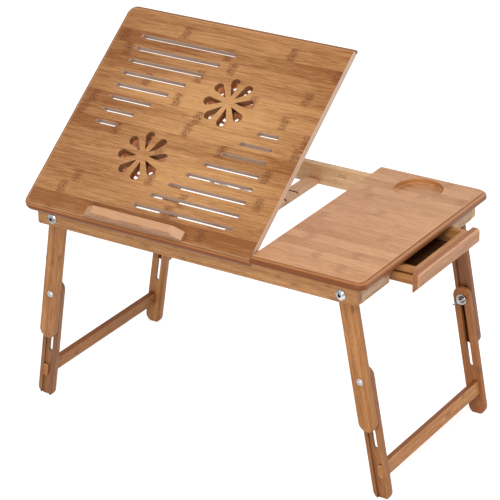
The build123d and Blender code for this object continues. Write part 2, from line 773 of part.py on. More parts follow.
with BuildPart() as usb_plug_shell:
    with BuildSketch(plug_plane.offset(plug_body_length)):
        Rectangle(plug_width, plug_height)
        Rectangle(plug_inner_width, plug_inner_height, mode=Mode.SUBTRACT)
    extrude(amount=plug_length)
    shell_face = plug_plane.from_local_coords((0, -plug_height / 2, plug_body_length + plug_hole_setback))
    with BuildSketch(Plane(shell_face, x_dir=plug_plane.x_dir, z_dir=plug_plane.y_dir)):
        with GridLocations(plug_hole_spacing, 0, 2, 1):
            Rectangle(plug_hole, plug_hole)
    extrude(amount=plug_sheet, mode=Mode.SUBTRACT)
keep(usb_plug_shell.part, "usb_plug_shell")

# Drawer
box_front_x = rail_x + drawer_front_gap + drawer_open
box_back_x = box_front_x - drawer_box_depth
box_y = drawer_box_width / 2
box_top_z = table_height - drawer_box_drop
box_bottom_z = box_top_z - drawer_box_height
box_inner_y = box_y - drawer_side_thickness
box_inner_front = box_front_x - drawer_front_thickness
box_inner_back = box_back_x + drawer_back_thickness
groove_top_z = box_top_z - drawer_groove_drop
groove_bottom_z = groove_top_z - drawer_groove_height
plate_top_z = table_height - drawer_plate_drop
plate_side = Plane((box_front_x, 0, plate_top_z), x_dir=(1, 0, 0), z_dir=(0, -1, 0))
screw_z = (box_top_z + box_bottom_z) / 2
screw_face = Plane((box_inner_front, 0, screw_z), x_dir=(0, 1, 0), z_dir=(1, 0, 0))

with BuildPart() as drawer_front_plate:
    with BuildSketch(plate_side) as plate_profile:
        with BuildLine():
            bevel_x = drawer_plate_thickness - drawer_plate_bevel
            Polyline((0, 0), (drawer_plate_thickness, 0),
                     (drawer_plate_thickness, drawer_plate_bevel - drawer_plate_height),
                     (bevel_x, -drawer_plate_height), (0, -drawer_plate_height), close=True)
        make_face()
        fillet(plate_profile.vertices().group_by(Axis.Y)[-1].sort_by(Axis.X)[-1], drawer_plate_round)
    extrude(amount=drawer_plate_width / 2, both=True)
    fillet(drawer_front_plate.edges().filter_by(Axis.Z).group_by(Axis.X)[-1], drawer_plate_round)
    with BuildSketch(screw_face.offset(drawer_front_thickness)):
        with GridLocations(drawer_screw_spacing, 0, 2, 1):
            Circle(drawer_screw_radius + running_play)
    extrude(amount=drawer_screw_bite, mode=Mode.SUBTRACT)
keep(drawer_front_plate.part, "drawer_front_plate")

with BuildPart() as drawer_front_wall:
    add(block((box_inner_front, -box_inner_y, box_bottom_z), (box_front_x, box_inner_y, box_top_z)))
    with BuildSketch(screw_face):
        with GridLocations(drawer_screw_spacing, 0, 2, 1):
            Circle(drawer_screw_radius + running_play)
    extrude(amount=drawer_front_thickness, mode=Mode.SUBTRACT)
keep(drawer_front_wall.part, "drawer_front_wall")

with BuildPart() as drawer_back_wall:
    add(block((box_back_x, -box_inner_y, box_bottom_z), (box_inner_back, box_inner_y, box_top_z)))
keep(drawer_back_wall.part, "drawer_back_wall")


def drawer_side(end):
    near, far = sorted((end * box_inner_y, end * box_y))
    groove_near, groove_far = sorted((end * (box_y - drawer_groove_depth), end * box_y))
    with BuildPart() as piece:
        add(block((box_back_x, near, box_bottom_z), (box_front_x, far, box_top_z)))
        cut = block((box_back_x, groove_near, groove_bottom_z), (box_inner_front, groove_far, groove_top_z))
        add(cut, mode=Mode.SUBTRACT)
    return piece.part


keep(drawer_side(front), "drawer_front_side")
keep(drawer_side(back), "drawer_back_side")

with BuildPart() as drawer_bottom:
    bottom_z = box_bottom_z + drawer_bottom_lift
    add(block((box_inner_back, -box_inner_y, bottom_z),
              (box_inner_front, box_inner_y, bottom_z + drawer_bottom_thickness)))
keep(drawer_bottom.part, "drawer_bottom")

with BuildPart() as drawer_screws:
    for sign in (-1, 1):
        at = Plane(screw_face.from_local_coords((sign * drawer_screw_spacing / 2, 0, 0)),
                   x_dir=screw_face.x_dir, z_dir=-screw_face.z_dir)
        tip = -drawer_front_thickness - drawer_screw_bite
        outline = ((0, drawer_screw_head_height), (drawer_screw_head, drawer_screw_head_height),
                   (drawer_screw_head, 0), (drawer_screw_radius, 0), (drawer_screw_radius, tip), (0, tip))
        add(turned(at, outline))
keep(drawer_screws.part, "drawer_screws")


def drawer_runner(end):
    tongue_y_in = box_y - drawer_groove_depth + runner_play
    strip_y_in = box_y + runner_play
    near, far = sorted((end * strip_y_in, end * half_opening))
    tongue_near, tongue_far = sorted((end * tongue_y_in, end * strip_y_in))
    start_x = box_back_x - drawer_open - runner_rear_setback
    end_x = rail_x - runner_front_setback
    tongue_end_x = box_inner_front - drawer_open - runner_play
    with BuildPart() as piece:
        add(block((start_x, near, groove_bottom_z - runner_below), (end_x, far, under_z)))
        add(block((start_x, tongue_near, groove_bottom_z + runner_play),
                  (tongue_end_x, tongue_far, groove_top_z - runner_play)))
    return piece.part


keep(drawer_runner(front), "drawer_runner_front")
keep(drawer_runner(back), "drawer_runner_back")

# Legs
upper_depth = rail_thickness + leg_gap
lower_depth = upper_depth + leg_thickness + leg_gap
lower_inner_depth = lower_depth + leg_thickness
washer_depth = lower_inner_depth + leg_gap
leg_round = leg_width / 2
leg_span = pivot_z / cos(splay)
upper_leg_reach = leg_span * upper_leg_share
bolt_distance = leg_span * bolt_share
leg_slot_length = leg_span * leg_slot_share
upper_span = upper_leg_reach - leg_round
lower_start = bolt_distance - lower_leg_lap + leg_round
foot_centre = (pivot_z - leg_round + foot_flat) / cos(splay)
crossbar_at = foot_centre + leg_round - crossbar_rise
slot_start = bolt_distance - leg_slot_play
bolt_length = 2 * leg_thickness + 2 * leg_gap + washer_thickness + wing_hub_height + bolt_end


def leg_plane(side, end, depth):
    origin = (side * pivot_x, end * (rail_y - depth), pivot_z)
    return Plane(origin, x_dir=(side * sin(splay), 0, -cos(splay)), z_dir=(0, -end, 0))


def bolt_plane(side, end, depth, outward):
    face = leg_plane(side, end, depth)
    at = face.from_local_coords((bolt_distance, 0, 0))
    return Plane(at, x_dir=face.x_dir, z_dir=-face.z_dir if outward else face.z_dir)


def upper_leg(side, end):
    face = leg_plane(side, end, upper_depth)
    with BuildPart() as leg:
        with BuildSketch(face):
            with Locations((upper_span / 2, 0)):
                SlotCenterToCenter(upper_span, leg_width)
        extrude(amount=leg_thickness)
        fillet(leg.faces().filter_by(Axis.Y).edges(), leg_edge_round)
        with BuildSketch(face.offset(leg_thickness)):
            with Locations((groove_start, 0)):
                Rectangle(upper_leg_reach, groove_width, align=(Align.MIN, Align.CENTER))
        extrude(amount=-groove_depth, mode=Mode.SUBTRACT)
        with BuildSketch(face):
            with Locations((0, 0), (bolt_distance, 0)):
                Circle(shank_radius + running_play)
        extrude(amount=leg_thickness, mode=Mode.SUBTRACT)
    return leg.part


def lower_leg(side, end):
    face = leg_plane(side, end, lower_depth)
    with BuildPart() as leg:
        with BuildSketch(face):
            with Locations(((lower_start + foot_centre) / 2, 0)):
                SlotCenterToCenter(foot_centre - lower_start, leg_width)
        extrude(amount=leg_thickness)
        fillet(leg.faces().filter_by(Axis.Y).edges(), leg_edge_round)
        with BuildSketch(face):
            with Locations((lower_start - leg_width, 0)):
                Rectangle(upper_leg_reach * 2, groove_width, align=(Align.MIN, Align.CENTER))
        extrude(amount=groove_depth, mode=Mode.SUBTRACT)
        with BuildSketch(face):
            with Locations((slot_start + leg_slot_length / 2, 0)):
                SlotCenterToCenter(leg_slot_length, leg_slot_width)
            with Locations((crossbar_at, side * end * crossbar_shift)):
                SlotOverall(crossbar_height + 2 * tenon_play, crossbar_thickness + 2 * tenon_play)
        extrude(amount=leg_thickness, mode=Mode.SUBTRACT)
        split(bisect_by=Plane.XY, keep=Keep.TOP)
    return leg.part


def crossbar(side):
    inner = leg_plane(side, front, lower_inner_depth)
    tip_depth = lower_depth + groove_depth - tenon_proud
    outer = leg_plane(side, front, tip_depth)
    with BuildPart() as bar:
        with BuildSketch(inner):
            with Locations((crossbar_at, side * front * crossbar_shift)):
                RectangleRounded(crossbar_height, crossbar_thickness, crossbar_round)
        extrude(amount=2 * (rail_y - lower_inner_depth))
        with BuildSketch(outer):
            with Locations((crossbar_at, side * front * crossbar_shift)):
                SlotOverall(crossbar_height, crossbar_thickness)
        extrude(amount=2 * (rail_y - tip_depth))
    return bar.part


def wing_nut(side, end):
    seat = bolt_plane(side, end, washer_depth + washer_thickness, False)
    wing_turn = radians(front_wing_angle if end == front else back_wing_angle)
    wing_dir = seat.x_dir * cos(wing_turn) + seat.y_dir * sin(wing_turn)
    spin = Plane(seat.origin, x_dir=wing_dir, z_dir=wing_dir.cross(seat.z_dir))
    hub = ((0, 0), (wing_hub_radius, 0), (wing_hub_top_radius, wing_hub_height), (0, wing_hub_height))
    with BuildPart() as nut:
        add(turned(seat, hub))
        with BuildSketch(spin):
            for sign in (-1, 1):
                with Locations((sign * wing_reach, wing_rise)):
                    Ellipse(wing_half_width, wing_half_height, rotation=-sign * wing_lean)
        extrude(amount=wing_thickness / 2, both=True)
        with BuildSketch(seat):
            Circle(shank_radius + running_play)
        extrude(amount=wing_hub_height + wing_rise + wing_half_height, mode=Mode.SUBTRACT)
    return nut.part


with BuildPart() as pivot_bolts:
    for side in (left, right):
        for end in ends:
            at = Plane((side * pivot_x, end * rail_y, pivot_z), x_dir=(1, 0, 0), z_dir=(0, end, 0))
            length = upper_depth + leg_thickness + leg_gap + pivot_nut_height
            add(domed_bolt(at, pivot_head_radius, pivot_head_height, pivot_head_rim, length))
            with BuildSketch(at.offset(pivot_head_height)):
                RegularPolygon(pivot_hex_radius, 6)
            extrude(amount=-pivot_hex_depth, mode=Mode.SUBTRACT)
keep(pivot_bolts.part, "pivot_bolts")

with BuildPart() as pivot_nuts:
    for side in (left, right):
        for end in ends:
            depth = upper_depth + leg_thickness + leg_gap
            at = Plane((side * pivot_x, end * (rail_y - depth), pivot_z), x_dir=(1, 0, 0), z_dir=(0, -end, 0))
            with BuildSketch(at):
                RegularPolygon(pivot_nut_radius, 6)
                Circle(shank_radius + running_play, mode=Mode.SUBTRACT)
            extrude(amount=pivot_nut_height)
keep(pivot_nuts.part, "pivot_nuts")

for side, side_name in ((left, "left"), (right, "right")):
    for end, end_name in ((front, "front"), (back, "back")):
        keep(upper_leg(side, end), side_name + "_" + end_name + "_upper_leg")
        keep(lower_leg(side, end), side_name + "_" + end_name + "_lower_leg")
        keep(wing_nut(side, end), side_name + "_" + end_name + "_wing_nut")
    keep(crossbar(side), side_name + "_crossbar")
    with BuildPart() as carriage_bolts:
        for end in ends:
            at = bolt_plane(side, end, upper_depth, True)
            add(domed_bolt(at, carriage_head_radius, carriage_head_height, carriage_head_rim, bolt_length))
    keep(carriage_bolts.part, side_name + "_carriage_bolts")
    with BuildPart() as washers:
        for end in ends:
            seat = bolt_plane(side, end, washer_depth, False)
            bore = shank_radius + running_play
            add(turned(seat, ((bore, 0), (washer_radius, 0), (washer_radius, washer_thickness),
                              (bore, washer_thickness))))
    keep(washers.part, side_name + "_washers")
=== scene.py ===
import math

import bmesh
import bpy
from mathutils import Matrix, Vector


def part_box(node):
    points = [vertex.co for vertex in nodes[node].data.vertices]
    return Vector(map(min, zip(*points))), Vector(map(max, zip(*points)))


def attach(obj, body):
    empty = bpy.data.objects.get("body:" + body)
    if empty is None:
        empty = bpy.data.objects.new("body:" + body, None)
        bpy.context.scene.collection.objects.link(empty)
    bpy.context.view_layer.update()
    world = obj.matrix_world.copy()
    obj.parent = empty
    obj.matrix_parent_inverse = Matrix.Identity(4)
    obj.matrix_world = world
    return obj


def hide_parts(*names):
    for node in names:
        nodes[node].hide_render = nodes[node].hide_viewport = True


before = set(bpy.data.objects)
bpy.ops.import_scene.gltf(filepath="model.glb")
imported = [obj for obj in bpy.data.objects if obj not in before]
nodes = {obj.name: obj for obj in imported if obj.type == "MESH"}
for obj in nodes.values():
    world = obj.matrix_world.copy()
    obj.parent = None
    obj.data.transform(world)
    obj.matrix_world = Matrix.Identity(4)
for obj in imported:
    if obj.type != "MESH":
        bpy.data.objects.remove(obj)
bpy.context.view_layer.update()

# Places and sizes of the table that the finishes follow, in metres
TILT = math.radians(36.9)
SPLAY = math.radians(9.6)
HINGE = Vector((0.0, -0.1583, 0.309))
HALF_WIDTH, HALF_DEPTH = 0.265, 0.1682
TOP_CORNER = 0.014
PANEL_RIGHT = 0.0986
BEYOND_SPLIT = 0.04
FAN_CENTRES = (Vector((-0.123935, -0.076716, 0.370255)), Vector((-0.040885, 0.007379, 0.433395)))

ORIGIN = (0.0, 0.0, 0.0)
UP, DOWN = (0.0, 0.0, 1.0), (0.0, 0.0, -1.0)
RIGHTWARD, FRONTWARD = (1.0, 0.0, 0.0), (0.0, -1.0, 0.0)
PANEL_NORMAL = (0.0, -math.sin(TILT), math.cos(TILT))
QUARTER_TURN = math.radians(90.0)
ALONG_Y = (0.0, 0.0, -QUARTER_TURN)
LEFT_LEG = (0.0, -QUARTER_TURN - SPLAY, 0.0)
RIGHT_LEG = (0.0, -QUARTER_TURN + SPLAY, 0.0)

# Marks in a surface: noise scale, detail and roughness, then the range that is kept and what it becomes
FIBRES = ((60.0, 1250.0, 1250.0), 2.0, 0.6, 0.30, 0.70, 0.0, 1.0)
STREAKS = ((24.0, 640.0, 640.0), 3.0, 0.65, 0.28, 0.72, 0.0, 1.0)
DRIFT = ((5.0, 40.0, 40.0), 2.0, 0.5, 0.30, 0.70, 0.0, 1.0)
DASHES = ((120.0, 1500.0, 1500.0), 1.0, 0.5, 0.60, 0.74, 0.0, 0.4)
FLECKS = ((420.0, 620.0, 620.0), 2.0, 0.6, 0.44, 0.60, 0.3, 1.0)
SMUDGES_AND_REFLECTIONS = ((160.0, 160.0, 160.0), 2.0, 0.5, 0.35, 0.7, 0.0, 1.0)
CLOUDS = ((45.0, 45.0, 45.0), 3.0, 0.5, 0.3, 0.7, 0.0, 1.0)

# Strips of the bamboo and their knots
LAYER_STEP = 37.0
FIBRE_SHARE, DRIFT_WEIGHT = 0.8, 0.3
KNOT_SCATTER, KNOT_PICK = 7.3, 91.7
KNOT_PICKED = (0.22, 0.4)
KNOT_WANDER_SCALE, KNOT_WANDER = (70.0, 190.0, 190.0), 0.012
KNOT_BAND = (0.0155, 0.0085)
SEAM = (0.48, 0.5, 0.0, 0.3)

# Tints by the way a face looks
CUT_WALL = (0.55, 0.2, 0.0, 0.75)
UPPER_FACE = (0.6, 0.9, 0.0, 0.75)
UNDERSIDE, UNDERSIDE_STREAKS = (0.6, 0.9), 0.6
# Painted shade on the cut walls near the fan flowers, within this reach
FLOWER_SHADE_REACH = (0.046, 0.040)

# Bands of the moulded rim by their inset from the edge, and how strong each stain, painted shade and painted
# highlight is
COVE = (0.0048, 0.0036, 0.0, 0.7)
ROUND = (0.0024, 0.0006, 0.0, 0.7)
# Painted shade in the quirk
QUIRK_SHADE_INSET, QUIRK_SHADE = 0.0047, (0.0009, 0.0003, 0.0, 0.32)
# A painted highlight along the arris of the raised field
ARRIS_HIGHLIGHT_INSET, ARRIS_HIGHLIGHT = 0.0061, (0.0009, 0.0002, 0.0, 0.35)
# The rim is darkened towards the back as painted shade
BACK_BAND, BACK_START, BACK_FADE, BACK_SHADE = (0.0050, 0.0034), 0.02, 0.02, 0.7
FRONT_BAND, FRONT_FACING = (0.0034, 0.0008), (0.1, 0.6, 0.0, 0.7)

# Pale edges that are partly wear and partly painted highlight, painted shade in corners, and fine relief
EDGE_TURN = (0.97, 0.80)
WOOD_EDGE, WOOD_RUB_AND_HIGHLIGHT, WOOD_RUB_AND_HIGHLIGHT_STREAKS = 0.0014, 0.25, 0.35
# Painted shade in the corners and under the overhangs of the wood: its reach, range and colour
WOOD_SHADE_REACH, WOOD_SHADE_RANGE = 0.009, (0.15, 0.8)
WOOD_PAINTED_SHADE = (0.42, 0.34, 0.28, 1.0)
WOOD_GLOSS_SPREAD, WOOD_GLOSS_MIDDLE = 0.16, 0.08
WOOD_RELIEF, WOOD_RELIEF_DEPTH, WOOD_RELIEF_STREAKS = 0.14, 0.0003, 0.6
# Metal edges turn near white: partly wear, partly painted highlight
METAL_EDGE, METAL_RUB_AND_HIGHLIGHT, METAL_WEAR_AND_HIGHLIGHT = 0.0005, 0.5, (0.92, 0.92, 0.93, 1.0)
# Painted shade in the corners of the metal: its reach, range and colour
METAL_SHADE_REACH, METAL_SHADE_RANGE = 0.004, (0.35, 0.95)
METAL_PAINTED_SHADE = (0.035, 0.033, 0.032, 1.0)
METAL_RELIEF = 0.05
PLASTIC_GRAIN, PLASTIC_GRAIN_DETAIL, PLASTIC_SPREAD = (1400.0, 1400.0, 1400.0), 3.0, 0.12
PLASTIC_CLOUD, PLASTIC_DARKER = 0.5, 0.82
PLASTIC_EDGE, PLASTIC_RUB_AND_HIGHLIGHT, PLASTIC_GAIN, PLASTIC_LIFT = 0.0008, 0.45, 1.25, 0.03
PLASTIC_RELIEF = 0.12
RELIEF_DEPTH = 0.0002


class Finish:
    """A material and short ways to add and join its nodes."""

    def __init__(self, name):
        self.material = bpy.data.materials.new(name)
        self.material.use_nodes = True
        self.tree = self.material.node_tree
        self.tree.nodes.clear()
        self.out = self.node("ShaderNodeOutputMaterial")
        self.shader = self.node("ShaderNodeBsdfPrincipled")
        self.join(self.shader.outputs["BSDF"], self.out.inputs["Surface"])

    def node(self, kind, **settings):
        made = self.tree.nodes.new(kind)
        for key, value in settings.items():
            setattr(made, key, value)
        return made

    def join(self, source, target):
        self.tree.links.new(source, target)

    def put(self, value, socket):
        """Join a socket's value, or set a plain one."""
        if hasattr(value, "is_linked"):
            self.join(value, socket)
        else:
            socket.default_value = value

    def math(self, operation, a, b=0.0):
        made = self.node("ShaderNodeMath", operation=operation)
        self.put(a, made.inputs[0])
        self.put(b, made.inputs[1])
        return made.outputs[0]

    def ramp(self, value, low, high, to_low=0.0, to_high=1.0):
        made = self.node("ShaderNodeMapRange", interpolation_type="SMOOTHSTEP")
        self.put(value, made.inputs["Value"])
        made.inputs["From Min"].default_value = low
        made.inputs["From Max"].default_value = high
        made.inputs["To Min"].default_value = to_low
        made.inputs["To Max"].default_value = to_high
        return made.outputs["Result"]

    def mix(self, share, a, b, blend="MIX"):
        made = self.node("ShaderNodeMix", data_type="RGBA", blend_type=blend)
        self.put(share, made.inputs[0])
        self.put(a, made.inputs[6])
        self.put(b, made.inputs[7])
        return made.outputs[2]

    def place(self, turn=ORIGIN, shift=ORIGIN):
        where = self.node("ShaderNodeTexCoord")
        mapping = self.node("ShaderNodeMapping")
        mapping.inputs["Rotation"].default_value = turn
        mapping.inputs["Location"].default_value = shift
        self.join(where.outputs["Object"], mapping.inputs["Vector"])
        return mapping.outputs["Vector"]

    def stretch(self, vector, scale):
        made = self.node("ShaderNodeVectorMath", operation="MULTIPLY")
        self.join(vector, made.inputs[0])
        made.inputs[1].default_value = scale
        return made.outputs[0]

    def noise(self, vector, scale, detail=2.0, rough=0.5):
        made = self.node("ShaderNodeTexNoise", noise_dimensions="3D")
        self.join(self.stretch(vector, scale), made.inputs["Vector"])
        made.inputs["Scale"].default_value = 1.0
        made.inputs["Detail"].default_value = detail
        made.inputs["Roughness"].default_value = rough
        return made.outputs["Fac"]

    def marks(self, vector, kind):
        scale, detail, rough, *span = kind
        return self.ramp(self.noise(vector, scale, detail, rough), *span)

    def bump(self, height, strength, depth):
        made = self.node("ShaderNodeBump")
        made.inputs["Strength"].default_value = strength
        made.inputs["Distance"].default_value = depth
        self.join(height, made.inputs["Height"])
        self.join(made.outputs["Normal"], self.shader.inputs["Normal"])

    def total(self, *terms):
        """The sum of (value, weight) pairs, each value taken from its middle of 0.5."""
        result = 0.5
        for value, weight in terms:
            from_middle = self.math("SUBTRACT", value, 0.5)
            result = self.math("ADD", result, self.math("MULTIPLY", from_middle, weight))
        return result

    def away_from(self, vector, spot):
        """The distance from a spot."""
        made = self.node("ShaderNodeVectorMath", operation="DISTANCE")
        self.join(vector, made.inputs[0])
        made.inputs[1].default_value = spot
        return made.outputs["Value"]

    def apart(self, value, middle):
        """How far a value is from the middle, either way."""
        return self.math("ABSOLUTE", self.math("SUBTRACT", value, middle))

    def looking(self, direction):
        """1 where the surface looks along the direction, -1 where it looks against it."""
        where = self.node("ShaderNodeTexCoord")
        made = self.node("ShaderNodeVectorMath", operation="DOT_PRODUCT")
        self.join(where.outputs["Normal"], made.inputs[0])
        made.inputs[1].default_value = direction
        return made.outputs["Value"]

    def facing(self, direction):
        """1 where the surface looks along the direction or against it, 0 where it stands across."""
        return self.math("ABSOLUTE", self.looking(direction))

    def corner_shade(self, reach):
        """1 in the open, down to 0 deep in corners and under overhangs; used to paint shade there."""
        made = self.node("ShaderNodeAmbientOcclusion", samples=6)
        made.inputs["Distance"].default_value = reach
        return made.outputs["AO"]

    def edge_wear_and_highlight(self, radius):
        """1 along sharp edges, 0 on the flats; used to paint paler edges, partly wear and partly painted highlight.
        """
        rounded = self.node("ShaderNodeBevel", samples=4)
        rounded.inputs["Radius"].default_value = radius
        true = self.node("ShaderNodeNewGeometry")
        made = self.node("ShaderNodeVectorMath", operation="DOT_PRODUCT")
        self.join(rounded.outputs["Normal"], made.inputs[0])
        self.join(true.outputs["Normal"], made.inputs[1])
        return self.ramp(made.outputs["Value"], *EDGE_TURN)


def colour(red, green, blue):
    """A colour written as it looks on screen, 0 to 255."""
    def linear(value):
        value /= 255.0
        return value / 12.92 if value <= 0.04045 else ((value + 0.055) / 1.055) ** 2.4
    return (linear(red), linear(green), linear(blue), 1.0)


honey, honey_deep, rust = colour(204, 151, 97), colour(138, 82, 35), colour(104, 47, 10)
rose, rose_deep, rose_rust = colour(222, 166, 120), colour(186, 128, 82), colour(138, 82, 46)
straw, straw_deep, straw_rust = colour(208, 154, 100), colour(156, 102, 56), colour(108, 62, 28)
# The quirk colour is painted shade in the quirk; the arris colour is a painted highlight
stain, quirk_shade, arris_highlight = colour(178, 112, 62), colour(70, 38, 18), colour(226, 178, 130)
# The rim stain colours the round and also paints shade along the back rim
rim_stain_and_shade, front_rim_dark, petal_wall_shade = colour(130, 72, 30), colour(112, 54, 14), colour(128, 78, 46)


def inset_from_rim(made, axes, low, high, radius):
    """How far in from the rim of a board with round corners, in metres."""
    reach = []
    for axis, start, end in (("X", low[0], high[0]), ("Y", low[1], high[1])):
        away = made.apart(axes.outputs[axis], 0.5 * (start + end))
        reach.append(made.math("SUBTRACT", away, 0.5 * (end - start) - radius))
    beyond = [made.math("MAXIMUM", value, 0.0) for value in reach]
    squares = [made.math("MULTIPLY", value, value) for value in beyond]
    corner = made.math("SQRT", made.math("ADD", squares[0], squares[1]))
    within = made.math("MINIMUM", made.math("MAXIMUM", reach[0], reach[1]), 0.0)
    return made.math("SUBTRACT", radius, made.math("ADD", corner, within))


def rim_with_stain_shade_and_highlight(made, surface, axes, low, high, dark_from):
    """A moulded rim: a stained cove and round, painted shade in the quirk, a painted highlight on the arris, painted
    shade along the back and a darker band on the front-facing outer rim.
    """
    inset = inset_from_rim(made, axes, low, high, TOP_CORNER)
    surface = made.mix(made.ramp(inset, *COVE), surface, stain)
    surface = made.mix(made.ramp(inset, *ROUND), surface, rim_stain_and_shade)
    # Painted shade: a dark line in the quirk
    surface = made.mix(made.ramp(made.apart(inset, QUIRK_SHADE_INSET), *QUIRK_SHADE), surface, quirk_shade)
    # Painted highlight: a pale line on the arris
    surface = made.mix(made.ramp(made.apart(inset, ARRIS_HIGHLIGHT_INSET), *ARRIS_HIGHLIGHT), surface, arris_highlight)
    # Painted shade: the outer rim darkens towards the back
    backward = made.ramp(axes.outputs["Y"], dark_from, dark_from + BACK_FADE)
    back_band = made.math("MULTIPLY", made.ramp(inset, *BACK_BAND), backward)
    surface = made.mix(made.math("MULTIPLY", back_band, BACK_SHADE), surface, rim_stain_and_shade)
    # A darker band on the outer rim where it looks frontward
    frontward = made.ramp(made.looking(FRONTWARD), *FRONT_FACING)
    front_band = made.math("MULTIPLY", made.ramp(inset, *FRONT_BAND), frontward)
    return made.mix(front_band, surface, front_rim_dark)


def knot_marks(made, at, along, luck, spacing):
    """1 in the flecked knot bands of the strips that have knots."""
    phase = made.math("ADD", made.math("DIVIDE", along, spacing), made.math("MULTIPLY", luck, KNOT_SCATTER))
    from_knot = made.math("MULTIPLY", made.apart(made.math("FRACT", phase), 0.5), spacing)
    wander = made.math("MULTIPLY", made.noise(at, KNOT_WANDER_SCALE), KNOT_WANDER)
    band = made.ramp(made.math("ADD", from_knot, wander), *KNOT_BAND)
    picked = made.ramp(made.math("FRACT", made.math("MULTIPLY", luck, KNOT_PICK)), *KNOT_PICKED)
    return made.math("MULTIPLY", made.math("MULTIPLY", band, made.marks(at, FLECKS)), picked)


def bamboo(name, pale, deep, knot, turn=ORIGIN, shift=ORIGIN, strip=0.02, layer=0.0055, spacing=0.23,
           knot_depth=0.8, strip_tone=0.6, grain=0.55, ageing=0.0, gloss=0.42, sheen=0.3, cut=None,
           flowers=(), upper=None, underside=None, rim=None, pale_middle=None):
    """Laminated bamboo: strips along x of the placed frame, fibres, and a rusty knot band now and then.

    cut tints the walls that stand across a direction, with painted shade near the flowers, upper the faces that look
    along one, and underside the faces that look down. rim gives the corners of a board with a moulded rim.
    pale_middle is a spot, the two distances between which it fades, and how much paler it is.
    """
    made = Finish(name)
    at = made.place(turn, shift)
    axes = made.node("ShaderNodeSeparateXYZ")
    made.join(at, axes.inputs[0])
    across = made.math("DIVIDE", axes.outputs["Y"], strip)
    deep_in = made.math("FLOOR", made.math("DIVIDE", axes.outputs["Z"], layer))
    chance = made.node("ShaderNodeTexWhiteNoise", noise_dimensions="1D")
    number = made.math("ADD", made.math("FLOOR", across), made.math("MULTIPLY", deep_in, LAYER_STEP))
    made.join(number, chance.inputs["W"])
    luck = chance.outputs["Value"]
    fibres, streaks = made.marks(at, FIBRES), made.marks(at, STREAKS)
    tone = made.total((luck, strip_tone), (streaks, grain), (fibres, FIBRE_SHARE * grain),
                      (made.marks(at, DRIFT), DRIFT_WEIGHT))
    tone = made.math("ADD", tone, ageing)
    if pale_middle:
        spot, near, far, amount = pale_middle
        middle = made.ramp(made.away_from(at, spot), near, far, 1.0, 0.0)
        tone = made.math("SUBTRACT", tone, made.math("MULTIPLY", middle, amount))
    surface = made.mix(made.math("MAXIMUM", made.math("MINIMUM", tone, 1.0), 0.0), pale, deep)
    surface = made.mix(made.marks(at, DASHES), surface, knot)
    knots = knot_marks(made, at, axes.outputs["X"], luck, spacing)
    surface = made.mix(made.math("MULTIPLY", knots, knot_depth), surface, knot)
    from_middle = made.apart(made.math("FRACT", across), 0.5)
    surface = made.mix(made.ramp(from_middle, *SEAM), surface, knot)
    if cut:
        direction, tint = cut
        # Painted shade: the cut walls turn dark near the fan flowers
        for flower in flowers:
            tint = made.mix(made.ramp(made.away_from(at, flower), *FLOWER_SHADE_REACH), tint, petal_wall_shade)
        surface = made.mix(made.ramp(made.facing(direction), *CUT_WALL), surface, tint)
    if upper:
        direction, tint = upper
        surface = made.mix(made.ramp(made.facing(direction), *UPPER_FACE), surface, tint)
    if underside:
        grained = made.mix(made.math("MULTIPLY", streaks, UNDERSIDE_STREAKS), underside, straw_deep)
        surface = made.mix(made.ramp(made.looking(DOWN), *UNDERSIDE), surface, grained)
    if rim:
        surface = rim_with_stain_shade_and_highlight(made, surface, axes, *rim)
    # Paler edges: partly wear, partly a painted highlight along the arrises
    rub_and_highlight = made.math("ADD", made.math("MULTIPLY", streaks, WOOD_RUB_AND_HIGHLIGHT_STREAKS), WOOD_RUB_AND_HIGHLIGHT)
    surface = made.mix(made.math("MULTIPLY", made.edge_wear_and_highlight(WOOD_EDGE), rub_and_highlight), surface, pale)
    # Painted shade: darker in corners, between parts and under overhangs
    unshaded = made.ramp(made.corner_shade(WOOD_SHADE_REACH), *WOOD_SHADE_RANGE)
    surface = made.mix(unshaded, made.mix(1.0, surface, WOOD_PAINTED_SHADE, "MULTIPLY"), surface)
    made.join(surface, made.shader.inputs["Base Color"])
    rough = made.math("ADD", made.math("MULTIPLY", fibres, WOOD_GLOSS_SPREAD), gloss - WOOD_GLOSS_MIDDLE)
    made.join(rough, made.shader.inputs["Roughness"])
    made.shader.inputs["Specular IOR Level"].default_value = sheen
    relief = made.math("ADD", fibres, made.math("MULTIPLY", streaks, WOOD_RELIEF_STREAKS))
    made.bump(relief, WOOD_RELIEF, WOOD_RELIEF_DEPTH)
    return made.material


def polished(name, tint, shade, rough, brushed=(400.0, 400.0, 400.0), spread=0.08, smudge_and_reflection_share=0.4):
    """Bright metal with dark patches that are smudges and painted reflections, painted shade in its corners, and
    paler edges that are wear and painted highlight.
    """
    made = Finish(name)
    at = made.place()
    grain = made.noise(at, brushed)
    # Dark patches: smudges, and on the chrome mostly painted reflections
    face = made.mix(made.math("MULTIPLY", made.marks(at, SMUDGES_AND_REFLECTIONS), smudge_and_reflection_share), tint, shade)
    # Paler edges: partly wear, partly a painted highlight
    face = made.mix(made.math("MULTIPLY", made.edge_wear_and_highlight(METAL_EDGE), METAL_RUB_AND_HIGHLIGHT), face, METAL_WEAR_AND_HIGHLIGHT)
    # Painted shade in the corners and recesses of the metal
    unshaded = made.ramp(made.corner_shade(METAL_SHADE_REACH), *METAL_SHADE_RANGE)
    made.join(made.mix(unshaded, METAL_PAINTED_SHADE, face), made.shader.inputs["Base Color"])
    made.shader.inputs["Metallic"].default_value = 1.0
    made.join(made.math("ADD", made.math("MULTIPLY", grain, spread), rough), made.shader.inputs["Roughness"])
    made.bump(grain, METAL_RELIEF, RELIEF_DEPTH)
    return made.material


